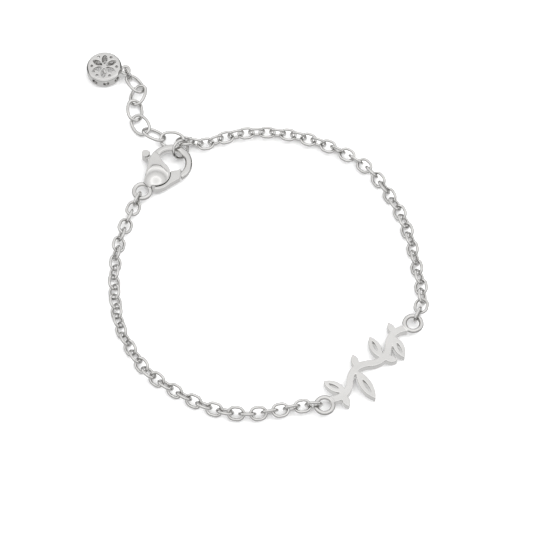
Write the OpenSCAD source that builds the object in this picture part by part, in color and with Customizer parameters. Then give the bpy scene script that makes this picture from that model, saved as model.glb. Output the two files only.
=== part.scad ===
// Nameplate bracelet in polished silver, closed and laid flat on a surface.
// Two runs of oval cable chain carry a pierced leaf plate at one end and a lobster clasp
// at the other; a short extender with an openwork charm trails from the join.
// Lengths are in millimetres. The origin is the middle of the wrist opening on the
// surface, +Z points up, and +X runs to the right of the clasp.

/* [Cable chain] */
// Thickness of the wire of a cable link
link_wire = 0.52; // [0.48:0.01:0.54]
// Outer length of a cable link
link_length = 3.16; // [3.12:0.01:3.2]
// Outer width of a cable link
link_width = 2.6; // [2.56:0.01:2.66]
// Least play between two neighbouring cable links
link_play = 0.2; // [0.18:0.01:0.24]
// How far a lying link may hang below the middle of its raised neighbours
link_sag = 0.2; // [0.1:0.02:0.24]
// Unevenness of the turn of the links, in degrees
link_sway = 5; // [0:1:6]

/* [Nameplate] */
// Thickness of the plate
plate_thick = 1.4; // [1.2:0.1:1.6]
// Distance between the middles of the two end rings
plate_span = 21.8; // [21.4:0.1:22.2]
// Width of the stem that runs from ring to ring
stem_w = 1.2; // [1.0:0.05:1.4]
// Outer diameter of the soldered end rings
plate_ring_od = 3.7; // [3.5:0.1:3.9]
// Wire of the soldered end rings
plate_ring_wire = 0.8; // [0.7:0.05:0.85]
// Turn of the plate about the vertical, in degrees
plate_turn = 45; // [43:1:47]

/* [Clasp] */
// Greatest thickness of the clasp, from dome to dome
clasp_thick = 2.6; // [2.5:0.05:2.6]
// Inner radius of the hook's arch
arch_inner = 2.6; // [2.5:0.05:2.65]
// Width of the hook's arm
arm_w = 1.25; // [1.1:0.05:1.3]
// Thickness of the hook's arm and of the gate
arm_thick = 1.2; // [1.1:0.05:1.25]
// Radius of the shield's round rim about the lever's pin
shield_r = 2.6; // [2.5:0.05:2.65]
// Diameter of the lever's pin
pin_d = 0.8; // [0.6:0.1:1.0]
// Clearance all round the pin
pin_play = 0.05; // [0.03:0.01:0.08]
// Outer diameter of the tail ring
tail_ring_od = 3.7; // [3.6:0.1:3.9]
// Wire of the tail ring
tail_ring_w = 0.8; // [0.7:0.05:0.85]

/* [Rings and extender] */
// Wire of the jump rings at the join
ring_wire = 0.5; // [0.48:0.01:0.54]
// Outer diameter of the join ring
join_ring_od = 3.6; // [3.5:0.1:3.8]
// Outer diameter of the ring that the hook holds
hook_ring_od = 3.8; // [3.7:0.1:4.0]
// Wire of an extender link
extender_wire = 0.52; // [0.48:0.01:0.54]
// Outer length of an extender link
extender_length = 4.75; // [4.7:0.05:4.85]
// Outer width of an extender link
extender_width = 3.35; // [3.25:0.05:3.4]

/* [Charm] */
// Outer diameter of the openwork drum
charm_d = 6.4; // [6.2:0.1:6.6]
// Height of the drum
charm_h = 2.3; // [2.2:0.1:2.6]
// Thickness of the drum's walls
charm_wall = 0.5; // [0.4:0.05:0.6]
// Outer diameter of the jump ring that holds the charm
charm_ring_od = 2.9; // [2.8:0.1:3.0]

/* [Hidden] */
$fn = 48;
far = 20;
silver = "silver";

// Places of the clasp, the plate and the rings on the surface: [x, y] or [x, y, z]
clasp_at = [-18.2, 19.6];
clasp_turn = -40;
tail_ring_at = [0.35, -6.45];
plate_at = [17.5, -19.4];
join_ring_at = [-14.6, 24.9, 1.25];
join_ring_tilt = -36;
hook_ring_at = [-15.4, 22.9, 1.65];
hook_ring_turn = [0, 57, -40];
charm_at = [-29.7, 40.3];
charm_ear_turn = -2;
charm_ear_r = charm_d / 2 + 0.65;
charm_ring_wire = 0.45;
charm_ring_turn = 28;
charm_ring_z = 1.48;

// A point given in the clasp's or the plate's own axes, on the surface
function turned(p, angle) = [
    p[0] * cos(angle) - p[1] * sin(angle),
    p[0] * sin(angle) + p[1] * cos(angle)
];
charm_ear_at = charm_at + turned([charm_ear_r, 0], charm_ear_turn);
charm_ring_at = charm_ear_at + turned([0, (charm_ring_wire - charm_ring_od) / 2], charm_ring_turn);
tail_ring_world = clasp_at + turned(tail_ring_at, clasp_turn);
plate_ring_left = plate_at + turned([-plate_span / 2, 0], plate_turn);
plate_ring_right = plate_at + turned([plate_span / 2, 0], plate_turn);

// Routes of the two chains, from ring to ring, as [x, y]
left_route = [
    tail_ring_world, [-23, 12.5], [-24.6, 8.3], [-25.9, 4], [-26.5, -1.5], [-26.2, -7],
    [-25.1, -12.5], [-23.1, -16.7], [-20.5, -20.5], [-17, -23.4], [-12.5, -26.2],
    [-8, -28], [-3, -28.7], [2.3, -28], [6.5, -27.2], plate_ring_left
];
right_route = [
    plate_ring_right, [26.7, -8.5], [26.9, -5], [26.1, 0], [25.2, 5], [23.7, 10],
    [21.7, 14], [19.5, 17.6], [16.9, 20.4], [13.8, 22.5], [10.6, 24.1], [7, 25.5],
    [3.4, 26.4], [-0.5, 26.8], [-4.5, 26.5], [-8, 25.5], [-10.9, 24.4], [-12.8, 24.6]
];

// Turn of every second link about the chain's axis, as [share of the route, degrees];
// the links between them stand at a right angle to it
left_turns = [[0, 90], [0.12, 62], [0.25, 46], [0.5, 42], [0.75, 40], [0.9, 20], [1, 0]];
right_turns = [[0, 88], [0.08, 52], [0.38, 46], [0.52, 68], [0.65, 86], [0.8, 92], [1, 90]];

// Extender links from the join outwards, as [x, y, heading, turn about the length]
extender_rows = [
    [-17.0, 25.4, 172, -22],
    [-20.3, 26.4, 150, 31],
    [-22.8, 28.6, 124, -20],
    [-23.9, 31.6, 91, 26],
    [-23.4, 34.9, 76, -24],
    [-24.0, 37.2, 122, 32]
];

// Smooth curve through a route's points, and the way travelled along it
route_steps = 10;
function point_of(route, i) = route[max(0, min(len(route) - 1, i))];
function curve(route, i, t) = 0.5 * (
    2 * point_of(route, i)
    + t * (point_of(route, i + 1) - point_of(route, i - 1))
    + t * t * (2 * point_of(route, i - 1) - 5 * point_of(route, i)
        + 4 * point_of(route, i + 1) - point_of(route, i + 2))
    + t * t * t * (3 * point_of(route, i) - 3 * point_of(route, i + 1)
        + point_of(route, i + 2) - point_of(route, i - 1)));
function smooth(route) = concat(
    [for (i = [0 : len(route) - 2], k = [0 : route_steps - 1]) curve(route, i, k / route_steps)],
    [route[len(route) - 1]]);
function travelled(path) = [
    for (i = 0, s = 0; i < len(path); s = s + norm(point_of(path, i + 1) - path[i]), i = i + 1) s
];
function place(path, way, s) = [
    lookup(s, [for (i = [0 : len(path) - 1]) [way[i], path[i][0]]]),
    lookup(s, [for (i = [0 : len(path) - 1]) [way[i], path[i][1]]])
];

// Distance from a ring's middle to the middle of the link that it holds, given the ring's
// radius to the middle of its wire: the ring passes just inside the link's round end
ring_seat = 0.1;
function first_link(ring_r) = ring_r + (link_length - link_width) / 2 + ring_seat;

// Height at which a link rests when it is turned about its length
function rest_height(turn, width, wire) = (width - wire) / 2 * abs(sin(turn)) + wire / 2;

// Turn of link i of n
function link_turn(turns, i, n) =
    lookup(i / (n - 1), turns) + (i % 2) * 90 + link_sway * sin(137 * i);
function link_rest(turns, i, n) =
    rest_height(link_turn(turns, max(0, min(n - 1, i)), n), link_width, link_wire);
function link_height(turns, i, n) = max(
    link_rest(turns, i, n),
    link_rest(turns, i - 1, n) - link_sag,
    link_rest(turns, i + 1, n) - link_sag);

// A round wire ring that lies flat about the origin
module wire_ring(outer, wire) {
    rotate_extrude() translate([(outer - wire) / 2, 0]) circle(d = wire);
}

// An oval wire link that lies flat about the origin, its length along X
module wire_link(length, width, wire) {
    bend_r = (width - wire) / 2;
    straight = length - width;
    for (side = [0, 180]) rotate([0, 0, side]) {
        translate([straight / 2, 0, 0])
            rotate_extrude(angle = 180, start = -90) translate([bend_r, 0]) circle(d = wire);
        translate([-straight / 2, bend_r, 0]) rotate([0, 90, 0]) cylinder(d = wire, h = straight);
    }
}

// One run of cable chain between two rings, given the first and last links' distances
module cable_run(route, turns, start_gap, end_gap) {
    path = smooth(route);
    way = travelled(path);
    run = way[len(way) - 1] - start_gap - end_gap;
    n = ceil(run / (link_length - 2 * link_wire - link_play)) + 1;
    pitch = run / (n - 1);
    for (i = [0 : n - 1]) {
        s = start_gap + i * pitch;
        here = place(path, way, s);
        ahead = place(path, way, s + pitch / 2) - place(path, way, s - pitch / 2);
        translate([here[0], here[1], link_height(turns, i, n)])
            rotate([link_turn(turns, i, n), 0, atan2(ahead[1], ahead[0])])
                wire_link(link_length, link_width, link_wire);
    }
}

tail_ring_gap = first_link((tail_ring_od - tail_ring_w) / 2);
plate_ring_gap = first_link((plate_ring_od - plate_ring_wire) / 2);

module chain_left() {
    color(silver) cable_run(left_route, left_turns, tail_ring_gap, plate_ring_gap);
}

module chain_right() {
    color(silver) cable_run(right_route, right_turns, plate_ring_gap, 0);
}

// Nameplate: a leafy stem in place of lettering
plate_ring_r = (plate_ring_od - plate_ring_wire) / 2;
plate_ring_rise = 0.1;
stem_waves = 4;
stem_start = plate_span / 2 - plate_ring_r;
stem_r = 2 * stem_start / stem_waves / sqrt(2);
leaf_slit = 0.4;

// Leaves on the stem, as [x, y, heading, length, width] in the plate's own axes
leaves = [
    [-6.6, -0.9, 108, 4.3, 1.9],
    [-7.3, -0.9, -112, 2.4, 1.3],
    [-2.5, 0.7, -104, 6.2, 2.1],
    [-2.0, 0.9, 62, 2.6, 1.3],
    [2.2, -0.7, 70, 4.5, 1.9],
    [2.6, -0.9, -60, 2.4, 1.3],
    [6.7, 0.7, -112, 4.5, 1.9],
    [7.2, 0.9, 72, 2.3, 1.2]
];
slit_from_length = 4;

// A flat strip bent to an arc: it starts at the origin, heads along X and turns left,
// or right where the turn is negative
module strip(r, turn) {
    translate([0, sign(turn) * r, 0])
        rotate([0, 0, turn > 0 ? -90 : 90 + turn])
            rotate_extrude(angle = abs(turn))
                translate([r - stem_w / 2, 0]) square([stem_w, plate_thick]);
}

// The wavy stem: strips joined end to end that turn left and right in turn
module stem(i = 0) {
    turn = i % 2 == 0 ? 90 : -90;
    strip(stem_r, turn);
    if (i < stem_waves - 1)
        translate([stem_r, sign(turn) * stem_r, 0]) rotate([0, 0, turn]) stem(i + 1);
}

// A pointed oval that starts at the origin and reaches along X
module pointed_oval(length, width, height) {
    bulge_r = (length * length + width * width) / (4 * width);
    intersection_for(side = [-1, 1])
        translate([length / 2, side * (bulge_r - width / 2), 0]) cylinder(r = bulge_r, h = height);
}

// A leaf; the long ones have an open vein
module leaf(length, width) {
    difference() {
        pointed_oval(length, width, plate_thick);
        if (length > slit_from_length) translate([length * 0.3, 0, -1])
            pointed_oval(length * 0.5, leaf_slit, plate_thick + 2);
    }
}

module nameplate() {
    ring_z = plate_thick - plate_ring_wire / 2 + plate_ring_rise;
    color(silver) translate([plate_at[0], plate_at[1], 0]) rotate([0, 0, plate_turn]) {
        for (end = [-1, 1]) translate([end * plate_span / 2, 0, ring_z])
            wire_ring(plate_ring_od, plate_ring_wire);
        translate([-stem_start, 0, 0]) rotate([0, 0, -45]) stem();
        for (row = leaves) translate([row[0], row[1], 0]) rotate([0, 0, row[2]])
            leaf(row[3], row[4]);
    }
}

// Clasp: in its own axes the arch is at the top, and the lever turns on clasp_pin
clasp_pin = [0, -2.4];
arch_at = [0.5, 1.1];
arm_mid_z = 1.3;
arm_bevel = 0.3;
arm_r = arch_inner + arm_w / 2;
tip_angle = -17;
post_length = 1.6;
shield_z = [0.6, 2.0];
slot_thick = 0.9;
web_thick = 0.8;
gap = 0.1;
tip_gap = 0.08;
slot_gap = 0.15;
slot_side_w = 3.6;
pin_cover = 0.1;
dome_at = [0.3, -2.8];
dome_rim_r = 2.4;
dome_steps = 180;
gate_r = 4.42;
gate_foot_r = 3.3;
hub_r = 1.1;
tab_at = [-4.05, -0.5];
tab_r = 0.72;
tab_thick = 2.0;
tab_reach = 0.45;
neck_y = -4.1;

// Shield beside its round rim: the root of the hook, the opening's edge and the neck
shield_side = [
    [-3.3, 0.9], [-1.9, 0.85], [-1.3, 0.55], [0.05, 0.1], [1.85, -0.6], [0.4, -2.4],
    [1.3, -4.4], [1.1, -5.2], [-0.4, -5.2], [-0.75, -4.75], [-3.05, -0.5]
];

// Side of the flank on which the shield lies
flank_side = [[-3.35, far], [-3.35, 0.9], [-3.05, -0.5], [-0.4, -5.36], [far, -5.36], [far, far]];

// Sides of the dome, with its point at the root
dome_side = [[-1.6, -0.5], [3, -1.05], [3, -5.1], [-0.6, -5.1], [-1.45, -2.8]];

// Gate from the hook's tip down to the rim, and on along the rim to the neck
gate_tip = [[1.2, -0.9], [2.75, 0.9], [3.4, 1.2], [4.4, 0.6], [3.95, -0.35], [3.3, -2.4], [1.2, -2.4]];
gate_foot = [[1.2, -2.41], [3.4, -2.41], [3.4, -4.9], [1.75, -4.9], [1.75, -3.5]];
gate_nose = [[2.5, 0.6], [2.75, 1.3], [3.0, 1.15], [3.0, 0.8], [2.8, 0.4]];

// Arm of the lever that reaches the thumb tab
tab_arm = [[0, -1.4], [-3.0, -0.05], [-3.8, 0], [-3.8, -0.95], [-3.2, -1.0], [-0.5, -3.2]];

module clasp_place() {
    translate([clasp_at[0], clasp_at[1], 0]) rotate([0, 0, clasp_turn]) children();
}

module at_pin(z = 0) {
    translate([clasp_pin[0], clasp_pin[1], z]) children();
}

// A bevelled section, for the hook's arm and the tail ring
module band_section(width, thick, bevel) {
    w = width / 2;
    t = thick / 2;
    polygon([
        [w, t - bevel], [w - bevel, t], [bevel - w, t], [-w, t - bevel],
        [-w, bevel - t], [bevel - w, -t], [w - bevel, -t], [w, bevel - t]
    ]);
}

// The arch of the hook, its tip cut to clear the gate
module hook_arch() {
    difference() {
        translate([arch_at[0], arch_at[1], arm_mid_z])
            rotate_extrude(angle = 180 - tip_angle, start = tip_angle)
                translate([arm_r, 0]) band_section(arm_w, arm_thick, arm_bevel);
        at_pin() rotate_extrude(angle = 90) square([gate_r + tip_gap, clasp_thick]);
    }
    translate([arch_at[0] - arm_r, arch_at[1], arm_mid_z]) rotate([90, 0, 0])
        linear_extrude(post_length) band_section(arm_w, arm_thick, arm_bevel);
}

// Outline of the shield
module shield_outline() {
    intersection() {
        union() {
            at_pin() circle(r = shield_r);
            polygon(shield_side);
        }
        polygon(flank_side);
    }
}

// The dome on each side of the shield: a lens, cut to a point at the root of the hook
module shield_dome() {
    rise = (clasp_thick - shield_z[1] + shield_z[0]) / 2;
    dome_r = (dome_rim_r * dome_rim_r + rise * rise) / (2 * rise);
    intersection() {
        linear_extrude(clasp_thick) polygon(dome_side);
        intersection_for(z = [dome_r, clasp_thick - dome_r])
            translate([dome_at[0], dome_at[1], z]) sphere(r = dome_r, $fn = dome_steps);
    }
}

module shield() {
    intersection() {
        linear_extrude(clasp_thick) shield_outline();
        union() {
            translate([-far / 2, -far / 2, shield_z[0]])
                cube([far, far, shield_z[1] - shield_z[0]]);
            shield_dome();
        }
    }
}

// The slot in which the lever turns
module lever_slot() {
    translate([0, 0, arm_mid_z - slot_thick / 2]) {
        intersection() {
            at_pin() cylinder(r = shield_r + slot_gap, h = slot_thick);
            translate([-far / 2, neck_y, 0]) cube([far, far / 2, slot_thick]);
        }
        translate([-far / 4, clasp_pin[1] - 1, 0]) cube([far / 4, slot_side_w, slot_thick]);
    }
}

module clasp_body() {
    color(silver) clasp_place() {
        difference() {
            union() {
                shield();
                hook_arch();
            }
            lever_slot();
        }
        at_pin(shield_z[0] + pin_cover)
            cylinder(d = pin_d, h = shield_z[1] - shield_z[0] - 2 * pin_cover);
        translate([tail_ring_at[0], tail_ring_at[1], arm_mid_z])
            wire_ring(tail_ring_od, tail_ring_w);
    }
}

// The flat inner part of the lever: hub, arm to the tab and fan to the gate
module lever_web() {
    difference() {
        union() {
            at_pin() circle(r = hub_r);
            polygon(tab_arm);
            at_pin() intersection() {
                circle(r = shield_r + 3 * gap);
                polygon([[0, 0], [far, -far * 0.7], [far, 0], [far, far * 1.1]]);
            }
        }
        at_pin() circle(d = pin_d + 2 * pin_play);
    }
}

module clasp_lever() {
    color(silver) clasp_place() {
        translate([0, 0, arm_mid_z - web_thick / 2]) linear_extrude(web_thick) lever_web();
        translate([0, 0, arm_mid_z - arm_thick / 2]) linear_extrude(arm_thick) difference() {
            union() {
                intersection() {
                    polygon(gate_tip);
                    at_pin() circle(r = gate_r);
                }
                intersection() {
                    polygon(gate_foot);
                    at_pin() circle(r = gate_foot_r);
                }
                polygon(gate_nose);
            }
            at_pin() circle(r = shield_r + gap);
        }
        translate([0, 0, arm_mid_z - tab_thick / 2]) linear_extrude(tab_thick) {
            translate(tab_at) circle(r = tab_r);
            translate([tab_at[0], tab_at[1] - tab_r]) square([tab_reach, 2 * tab_r]);
        }
    }
}

module join_ring() {
    color(silver) translate(join_ring_at) rotate([join_ring_tilt, 0, 0])
        wire_ring(join_ring_od, ring_wire);
}

module hook_ring() {
    color(silver) translate(hook_ring_at) rotate(hook_ring_turn) wire_ring(hook_ring_od, ring_wire);
}

module extender_link(k) {
    row = extender_rows[k - 1];
    rest = rest_height(row[3], extender_width, extender_wire);
    color(silver) translate([row[0], row[1], rest]) rotate([row[3], 0, row[2]])
        wire_link(extender_length, extender_width, extender_wire);
}

// Charm: a round openwork drum with a six-petal rosette, on an ear at its side
charm_bevel = 0.3;
petals = 6;
petal_from = 0.4;
petal_length = 2.1;
petal_width = 1.0;
dot_d = 0.5;
windows = 9;
window_d = 1.1;
ear_od = 2.0;
ear_hole = 1.1;
ear_thick = 0.5;

// Half section of the hollow drum
module drum_section() {
    r = charm_d / 2;
    difference() {
        polygon([
            [0, 0], [r - charm_bevel, 0], [r, charm_bevel], [r, charm_h - charm_bevel],
            [r - charm_bevel, charm_h], [0, charm_h]
        ]);
        translate([0, charm_wall]) square([r - charm_wall, charm_h - 2 * charm_wall]);
    }
}

module charm() {
    color(silver) translate([charm_at[0], charm_at[1], 0]) difference() {
        union() {
            rotate_extrude() drum_section();
            rotate([0, 0, charm_ear_turn]) translate([charm_ear_r, 0, charm_h / 2 - ear_thick / 2])
                cylinder(d = ear_od, h = ear_thick);
        }
        for (k = [0 : petals - 1]) rotate([0, 0, (k + 0.5) * 360 / petals + charm_ear_turn]) {
            translate([petal_from, 0, -1]) pointed_oval(petal_length, petal_width, charm_h + 2);
            rotate([0, 0, 180 / petals]) translate([charm_d / 2 - 0.9, 0, -1])
                cylinder(d = dot_d, h = charm_h + 2);
        }
        for (k = [1 : windows - 1])
            rotate([0, 0, k * 360 / windows + charm_ear_turn])
                translate([charm_d / 2 - 2 * charm_wall, 0, charm_h / 2]) rotate([0, 90, 0])
                    cylinder(d = window_d, h = 4 * charm_wall);
        rotate([0, 0, charm_ear_turn]) translate([charm_ear_r, 0, charm_h / 2 - ear_thick])
            cylinder(d = ear_hole, h = 2 * ear_thick);
    }
}

module charm_ring() {
    color(silver) translate([charm_ring_at[0], charm_ring_at[1], charm_ring_z])
        rotate([0, 90, charm_ring_turn]) wire_ring(charm_ring_od, charm_ring_wire);
}

chain_left();
chain_right();
nameplate();
clasp_body();
clasp_lever();
join_ring();
hook_ring();
extender_link(1);  // extender_link_1
extender_link(2);  // extender_link_2
extender_link(3);  // extender_link_3
extender_link(4);  // extender_link_4
extender_link(5);  // extender_link_5
extender_link(6);  // extender_link_6
charm_ring();
charm();
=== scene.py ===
"""Nameplate bracelet in polished silver, closed and laid flat on a pale floor.

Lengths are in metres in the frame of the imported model. The solids of the frame give every
place: the links are swept again in round wire where the frame has them, and the cast pieces
get the soft edges of tumbled and polished metal.
"""

import math

import bmesh
import bpy
from mathutils import Matrix, Vector


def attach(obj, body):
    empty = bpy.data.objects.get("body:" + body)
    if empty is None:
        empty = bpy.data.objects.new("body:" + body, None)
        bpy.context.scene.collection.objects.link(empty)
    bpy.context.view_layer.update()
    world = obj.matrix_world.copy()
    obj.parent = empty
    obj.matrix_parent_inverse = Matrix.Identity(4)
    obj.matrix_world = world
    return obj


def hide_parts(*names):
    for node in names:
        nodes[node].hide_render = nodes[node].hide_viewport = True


MM = 0.001

# Links: length, width and wire, the extender's a little fuller than in the construction
CABLE_SIZE = (3.16 * MM, 2.6 * MM)
CABLE_WIRE = 0.52 * MM
EXTENDER_LINKS = 6
EXTENDER_SIZE = (4.75 * MM, 3.4 * MM)
EXTENDER_WIRE = 0.58 * MM
EXTENDER_END_RADIUS = 1.25 * MM

# Round rings: outer diameter and wire, a little fuller at the join than in the construction
JOIN_RING_OUTER = 3.6 * MM
HOOK_RING_OUTER = 3.8 * MM
JUMP_WIRE = 0.55 * MM
CHARM_RING_OUTER = 2.9 * MM
CHARM_RING_WIRE = 0.45 * MM

# Facets round a wire and along a bend
WIRE_SIDES = 14
BEND_STEPS = 20

# Cast pieces: grain of the even mesh, and passes that soften its edges
PLATE_GRAIN = 0.07 * MM
PLATE_PASSES = 6
CLASP_GRAIN = 0.055 * MM
CLASP_PASSES = 11
GATE_GRAIN = 0.05 * MM
GATE_PASSES = 8
CHARM_GRAIN = 0.055 * MM
CHARM_PASSES = 3
SOFTEN_FACTOR = 0.5

# Points of a frame mesh nearer than this are one point
WELD = 0.001 * MM
# First guess for a main axis, not square to any likely one
AXIS_GUESS = (0.61, 0.53, 0.59)

# Polished silver, darker than the real metal so that its highlights stay under the paper's
# white: the two tones of a faint cloud, a haze in the gloss, and low waves
SILVER_DARK = (0.55, 0.544, 0.534, 1)
SILVER_LIGHT = (0.6, 0.594, 0.584, 1)
CLOUD_SCALE = 260.0
CLOUD_DETAIL = 3.0
CLOUD_BAND = (0.35, 0.7)
HAZE_SCALE = 900.0
HAZE_DETAIL = 4.0
HAZE_ROUGHNESS = (0.04, 0.11)
WAVE_SCALE = 1400.0
WAVE_DETAIL = 2.0
WAVE_STRENGTH = 0.12
WAVE_HEIGHT = 0.02 * MM

# The floor's paper
PAPER_WHITE = (0.97, 0.97, 0.97, 1)
PAPER_ROUGHNESS = 0.9
PAPER_SHINE = 0.1

# Camera: it looks at the middle of the wrist opening from the front
CAMERA_ELEVATION = math.radians(62)
CAMERA_DISTANCE = 380 * MM
FRAME_WIDTH = 93.3 * MM
SENSOR_WIDTH = 36.0
NEAREST_SEEN = 10 * MM

# Sky by height, from -1 straight down to 1 overhead: behind the camera, and beyond the bracelet
NEAR_SKY = [
    (-1, 1), (-0.85, 0.85), (-0.5, 0.8), (-0.2, 0.5), (0, 0.05),
    (0.15, 0.08), (0.34, 0.9), (0.6, 1.25), (0.76, 0.8), (0.85, 1.1),
    (0.91, 1.28), (0.95, 1.7), (0.98, 1.5), (1, 1.35)
]
FAR_SKY = [
    (-1, 1), (-0.85, 0.85), (-0.5, 0.8), (-0.2, 0.5), (0, 0.05),
    (0.1, 0.06), (0.24, 1.1), (0.5, 1.65), (0.74, 0.9), (0.84, 1.15),
    (0.91, 1.28), (0.95, 1.7), (0.98, 1.5), (1, 1.35)
]
# Where the near sky turns into the far one, from front to back
SKY_TURN = (-0.6, -0.2)

# Floor: from its middle to its sides, and its height, a hair below the lowest wire
FLOOR_REACH = 1.2
FLOOR_HEIGHT = -0.04 * MM

# Lamps: place and size in metres, power in watts
KEY_AT = (0.5, 0.2, 0.45)
KEY_SIZE = 0.5
KEY_POWER = 3.2
FILL_AT = (0.1, 0.1, 1.5)
FILL_SIZE = 1.6
FILL_POWER = 5

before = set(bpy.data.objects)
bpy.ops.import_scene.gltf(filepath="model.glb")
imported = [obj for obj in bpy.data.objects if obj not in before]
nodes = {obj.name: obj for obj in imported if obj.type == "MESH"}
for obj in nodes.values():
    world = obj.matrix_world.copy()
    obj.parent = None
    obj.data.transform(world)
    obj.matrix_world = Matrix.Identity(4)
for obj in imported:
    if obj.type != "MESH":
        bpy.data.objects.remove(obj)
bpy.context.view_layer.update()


# Mesh helpers


def new_piece(name, bm, material, node, body="bracelet"):
    """A mesh piece from a bmesh: it stands for a node of the frame and rides on its body."""
    mesh = bpy.data.meshes.new(name)
    bm.to_mesh(mesh)
    bm.free()
    piece = bpy.data.objects.new(name, mesh)
    bpy.context.scene.collection.objects.link(piece)
    mesh.shade_smooth()
    mesh.materials.append(material)
    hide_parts(node)
    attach(piece, body)
    return piece


def loose_solids(node):
    """The separate solids of a node, each as a list of its triangles' corners."""
    bm = bmesh.new()
    bm.from_mesh(nodes[node].data)
    bmesh.ops.remove_doubles(bm, verts=bm.verts, dist=WELD)
    bmesh.ops.triangulate(bm, faces=bm.faces)
    bm.faces.index_update()
    seen = set()
    solids = []
    for first in bm.faces:
        if first.index in seen:
            continue
        seen.add(first.index)
        found = [first]
        for face in found:
            for edge in face.edges:
                near = [f for f in edge.link_faces if f.index not in seen]
                seen.update(f.index for f in near)
                found.extend(near)
        solids.append([[v.co.copy() for v in face.verts] for face in found])
    bm.free()
    return solids


def axes_of(triangles):
    """Middle and main axes of a thin oval or round solid: its length, width and normal."""
    weights = [(b - a).cross(c - a).length for a, b, c in triangles]
    middles = [(a + b + c) / 3 for a, b, c in triangles]
    total = sum(weights)
    centre = sum((m * w for m, w in zip(middles, weights)), Vector()) / total
    spread = Matrix(((0,) * 3,) * 3)
    for m, w in zip(middles, weights):
        d = m - centre
        for i in range(3):
            for j in range(3):
                spread[i][j] += d[i] * d[j] * w / total
    normal = power_axis(inverted(spread))
    length = power_axis(spread)
    length = (length - normal * length.dot(normal)).normalized()
    return centre, length, normal.cross(length), normal


def inverted(matrix):
    """The inverse of a small spread matrix, scaled so that its size stays near one."""
    scale = 1 / (matrix[0][0] + matrix[1][1] + matrix[2][2])
    return (matrix * scale).inverted()


def power_axis(matrix, rounds=60):
    """The direction that a symmetric matrix stretches most."""
    axis = Vector(AXIS_GUESS)
    for _ in range(rounds):
        axis = (matrix @ axis).normalized()
    return axis


def oval_path(length, width, wire, end_radius=None):
    """Middle line of an oval wire link in its own plane, as a closed list of points.

    The ends are arcs; the sides are straight, or arcs that bow out where the ends are tighter
    than half the width. A round ring has no sides, and its end arcs share their end points.
    """
    half_length = (length - wire) / 2
    half_width = (width - wire) / 2
    radius = end_radius or half_width
    reach = half_length - radius
    turn = math.pi / 2
    side_radius = 0
    if half_width > radius:
        drop = half_width - radius
        side_radius = (reach * reach + half_width * half_width - radius * radius) / (2 * drop)
        turn = math.atan2(side_radius - half_width, reach)
    path = []
    for side in (1, -1):
        for k in range(BEND_STEPS + 1):
            angle = turn * (2 * k / BEND_STEPS - 1)
            x = reach + radius * math.cos(angle)
            y = radius * math.sin(angle)
            path.append((side * x, side * y))
        for k in range(1, BEND_STEPS if side_radius else 1):
            angle = turn + (math.pi - 2 * turn) * k / BEND_STEPS
            x = side_radius * math.cos(angle)
            y = half_width - side_radius + side_radius * math.sin(angle)
            path.append((side * x, side * y))
    return path


def sweep_wire(bm, path, wire, centre, along, across, normal):
    """Sweeps a round wire along a closed flat path that is given in a solid's own axes."""
    rings = []
    count = len(path)
    for k, (x, y) in enumerate(path):
        before, after = path[k - 1], path[(k + 1) % count]
        tangent = Vector((after[0] - before[0], after[1] - before[1])).normalized()
        outward = along * tangent.y - across * tangent.x
        middle = centre + along * x + across * y
        ring = []
        for s in range(WIRE_SIDES):
            angle = 2 * math.pi * s / WIRE_SIDES
            offset = outward * math.cos(angle) + normal * math.sin(angle)
            ring.append(bm.verts.new(middle + offset * wire / 2))
        rings.append(ring)
    for k in range(count):
        here, there = rings[k], rings[(k + 1) % count]
        for s in range(WIRE_SIDES):
            t = (s + 1) % WIRE_SIDES
            bm.faces.new((here[s], here[t], there[t], there[s]))


def wire_piece(name, node, size, wire, material, end_radius=None):
    """All links or rings of a node, swept in round wire where the frame has them."""
    bm = bmesh.new()
    path = oval_path(size[0], size[1], wire, end_radius)
    for triangles in loose_solids(node):
        sweep_wire(bm, path, wire, *axes_of(triangles))
    bmesh.ops.recalc_face_normals(bm, faces=bm.faces)
    return new_piece(name, bm, material, node)


def jump_ring(name, node, outer, wire, material):
    """A round ring of wire."""
    return wire_piece(name, node, (outer, outer), wire, material)


def cast_piece(name, node, grain, passes, material, body="bracelet"):
    """A node's solid with the softened edges of a cast and tumbled piece."""
    bm = bmesh.new()
    bm.from_mesh(nodes[node].data)
    bmesh.ops.remove_doubles(bm, verts=bm.verts, dist=WELD)
    piece = new_piece(name, bm, material, node, body)
    remesh = piece.modifiers.new("Even", "REMESH")
    remesh.mode = "VOXEL"
    remesh.voxel_size = grain
    smooth = piece.modifiers.new("Soft", "SMOOTH")
    smooth.factor = SOFTEN_FACTOR
    smooth.iterations = passes
    depsgraph = bpy.context.evaluated_depsgraph_get()
    made = bpy.data.meshes.new_from_object(piece.evaluated_get(depsgraph))
    piece.modifiers.clear()
    piece.data = made
    made.shade_smooth()
    return piece


# Materials


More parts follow.
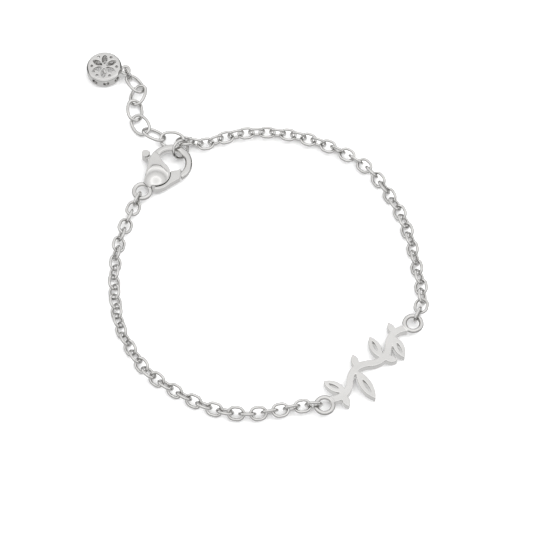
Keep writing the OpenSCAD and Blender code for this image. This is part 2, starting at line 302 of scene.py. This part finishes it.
def silver_material():
    """Polished silver with faint clouds, a polishing haze and low waves."""
    material = bpy.data.materials.new("polished_silver")
    material.use_nodes = True
    tree = material.node_tree
    shader = tree.nodes["Principled BSDF"]
    shader.inputs["Metallic"].default_value = 1.0
    where = tree.nodes.new("ShaderNodeTexCoord")
    # Colour: faint clouds of a slightly warm grey
    cloud = tree.nodes.new("ShaderNodeTexNoise")
    cloud.inputs["Scale"].default_value = CLOUD_SCALE
    cloud.inputs["Detail"].default_value = CLOUD_DETAIL
    tint = tree.nodes.new("ShaderNodeValToRGB")
    for element, place, colour in zip(
        tint.color_ramp.elements, CLOUD_BAND, (SILVER_DARK, SILVER_LIGHT)
    ):
        element.position = place
        element.color = colour
    tree.links.new(where.outputs["Object"], cloud.inputs["Vector"])
    tree.links.new(cloud.outputs["Fac"], tint.inputs["Fac"])
    tree.links.new(tint.outputs["Color"], shader.inputs["Base Color"])
    # Roughness: polishing haze
    haze = tree.nodes.new("ShaderNodeTexNoise")
    haze.inputs["Scale"].default_value = HAZE_SCALE
    haze.inputs["Detail"].default_value = HAZE_DETAIL
    span = tree.nodes.new("ShaderNodeMapRange")
    span.inputs["To Min"].default_value = HAZE_ROUGHNESS[0]
    span.inputs["To Max"].default_value = HAZE_ROUGHNESS[1]
    tree.links.new(where.outputs["Object"], haze.inputs["Vector"])
    tree.links.new(haze.outputs["Fac"], span.inputs["Value"])
    tree.links.new(span.outputs["Result"], shader.inputs["Roughness"])
    # Bump: the faint unevenness of a hand-polished surface
    waves = tree.nodes.new("ShaderNodeTexNoise")
    waves.inputs["Scale"].default_value = WAVE_SCALE
    waves.inputs["Detail"].default_value = WAVE_DETAIL
    bump = tree.nodes.new("ShaderNodeBump")
    bump.inputs["Strength"].default_value = WAVE_STRENGTH
    bump.inputs["Distance"].default_value = WAVE_HEIGHT
    tree.links.new(where.outputs["Object"], waves.inputs["Vector"])
    tree.links.new(waves.outputs["Fac"], bump.inputs["Height"])
    tree.links.new(bump.outputs["Normal"], shader.inputs["Normal"])
    return material


def floor_material():
    """Plain white paper."""
    material = bpy.data.materials.new("white_paper")
    material.use_nodes = True
    shader = material.node_tree.nodes["Principled BSDF"]
    shader.inputs["Base Color"].default_value = PAPER_WHITE
    shader.inputs["Roughness"].default_value = PAPER_ROUGHNESS
    shader.inputs["Specular IOR Level"].default_value = PAPER_SHINE
    return material


# The bracelet


silver = silver_material()
wire_piece("cable_left", "chain_left", CABLE_SIZE, CABLE_WIRE, silver)
wire_piece("cable_right", "chain_right", CABLE_SIZE, CABLE_WIRE, silver)
for k in range(1, EXTENDER_LINKS + 1):
    oval = (EXTENDER_SIZE, EXTENDER_WIRE, silver, EXTENDER_END_RADIUS)
    wire_piece(f"oval_link_{k}", f"extender_link_{k}", *oval)
jump_ring("jump_ring_join", "join_ring", JOIN_RING_OUTER, JUMP_WIRE, silver)
jump_ring("jump_ring_hook", "hook_ring", HOOK_RING_OUTER, JUMP_WIRE, silver)
jump_ring("jump_ring_charm", "charm_ring", CHARM_RING_OUTER, CHARM_RING_WIRE, silver)
cast_piece("openwork_plate", "nameplate", PLATE_GRAIN, PLATE_PASSES, silver)
cast_piece("lobster_clasp", "clasp_body", CLASP_GRAIN, CLASP_PASSES, silver)
cast_piece("clasp_gate", "clasp_lever", GATE_GRAIN, GATE_PASSES, silver, "lever")
cast_piece("openwork_charm", "charm", CHARM_GRAIN, CHARM_PASSES, silver)


# Floor, light and camera


def add_floor():
    """A square of paper that shows no reflection in the metal."""
    bm = bmesh.new()
    bmesh.ops.create_grid(bm, x_segments=1, y_segments=1, size=FLOOR_REACH)
    mesh = bpy.data.meshes.new("floor")
    bm.to_mesh(mesh)
    bm.free()
    floor = bpy.data.objects.new("floor", mesh)
    bpy.context.scene.collection.objects.link(floor)
    mesh.materials.append(floor_material())
    floor.location.z = FLOOR_HEIGHT
    floor.visible_glossy = False


def add_area_light(name, at, size, power):
    """A square soft light for the floor alone, aimed at the middle of the bracelet."""
    light = bpy.data.lights.new(name, "AREA")
    light.shape = "SQUARE"
    light.size = size
    light.energy = power
    lamp = bpy.data.objects.new(name, light)
    lamp.location = at
    lamp.visible_glossy = False
    lamp.rotation_mode = "QUATERNION"
    lamp.rotation_quaternion = (-Vector(at)).to_track_quat("-Z", "Y")
    bpy.context.scene.collection.objects.link(lamp)


def sky_ramp(tree, height, stops):
    """Grey levels of the sky by height: -1 straight down, 0 the horizon, 1 overhead."""
    ramp = tree.nodes.new("ShaderNodeValToRGB")
    elements = ramp.color_ramp.elements
    while len(elements) < len(stops):
        elements.new(0.5)
    for element, (level, grey) in zip(elements, stops):
        element.position = (level + 1) / 2
        element.color = (grey, grey, grey, 1)
    tree.links.new(height, ramp.inputs["Fac"])
    return ramp.outputs["Color"]


def add_sky():
    """A white studio with a dark horizon and softer bands above it."""
    world = bpy.data.worlds.new("studio")
    world.use_nodes = True
    bpy.context.scene.world = world
    tree = world.node_tree
    where = tree.nodes.new("ShaderNodeTexCoord")
    split = tree.nodes.new("ShaderNodeSeparateXYZ")
    tree.links.new(where.outputs["Generated"], split.inputs["Vector"])
    height = tree.nodes.new("ShaderNodeMapRange")
    height.inputs["From Min"].default_value = -1.0
    height.inputs["From Max"].default_value = 1.0
    tree.links.new(split.outputs["Z"], height.inputs["Value"])
    turn = tree.nodes.new("ShaderNodeMapRange")
    turn.interpolation_type = "SMOOTHSTEP"
    turn.inputs["From Min"].default_value = SKY_TURN[0]
    turn.inputs["From Max"].default_value = SKY_TURN[1]
    tree.links.new(split.outputs["Y"], turn.inputs["Value"])
    mix = tree.nodes.new("ShaderNodeMixRGB")
    tree.links.new(turn.outputs["Result"], mix.inputs["Fac"])
    tree.links.new(sky_ramp(tree, height.outputs["Result"], NEAR_SKY), mix.inputs["Color1"])
    tree.links.new(sky_ramp(tree, height.outputs["Result"], FAR_SKY), mix.inputs["Color2"])
    tree.links.new(mix.outputs["Color"], tree.nodes["Background"].inputs["Color"])


def add_camera():
    """A long lens in front of the bracelet and above it, as in the photograph."""
    camera = bpy.data.cameras.new("camera")
    camera.sensor_width = SENSOR_WIDTH
    camera.lens = SENSOR_WIDTH * CAMERA_DISTANCE / FRAME_WIDTH
    camera.clip_start = NEAREST_SEEN
    holder = bpy.data.objects.new("camera", camera)
    back = Vector((0, -math.cos(CAMERA_ELEVATION), math.sin(CAMERA_ELEVATION)))
    holder.location = back * CAMERA_DISTANCE
    holder.rotation_mode = "QUATERNION"
    holder.rotation_quaternion = (-back).to_track_quat("-Z", "Y")
    bpy.context.scene.collection.objects.link(holder)
    bpy.context.scene.camera = holder


add_floor()
add_sky()
add_area_light("key", KEY_AT, KEY_SIZE, KEY_POWER)
add_area_light("fill", FILL_AT, FILL_SIZE, FILL_POWER)
add_camera()
bpy.context.scene.view_settings.view_transform = "Standard"
